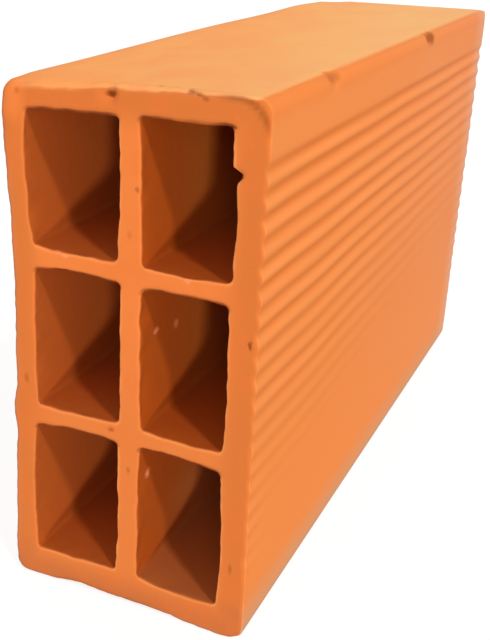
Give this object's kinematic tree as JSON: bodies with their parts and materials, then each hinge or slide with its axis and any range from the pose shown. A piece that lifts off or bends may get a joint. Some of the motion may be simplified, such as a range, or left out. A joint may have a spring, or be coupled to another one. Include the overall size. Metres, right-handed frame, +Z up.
{
  "type": "hollow clay brick",
  "caption": "Extruded hollow clay brick with through cells, rounded long edges and one finely ribbed wide face, for masonry walls.",
  "frame": {"origin": "middle of the narrow long face that the brick stands on", "axes": "+Z up, +Y along the cells from the pictured cut end to the far one, +X across the brick, from the plain wide face to the ribbed one"},
  "size_m": [0.098, 0.32, 0.199],
  "materials": {
    "fired_clay": "matt unglazed orange fired clay, wire-cut at both ends, drawn smooth along its length and ribbed on one wide face"
  },
  "bodies": {
    "root": {"brick": "fired_clay"}
  },
  "joints": []
}
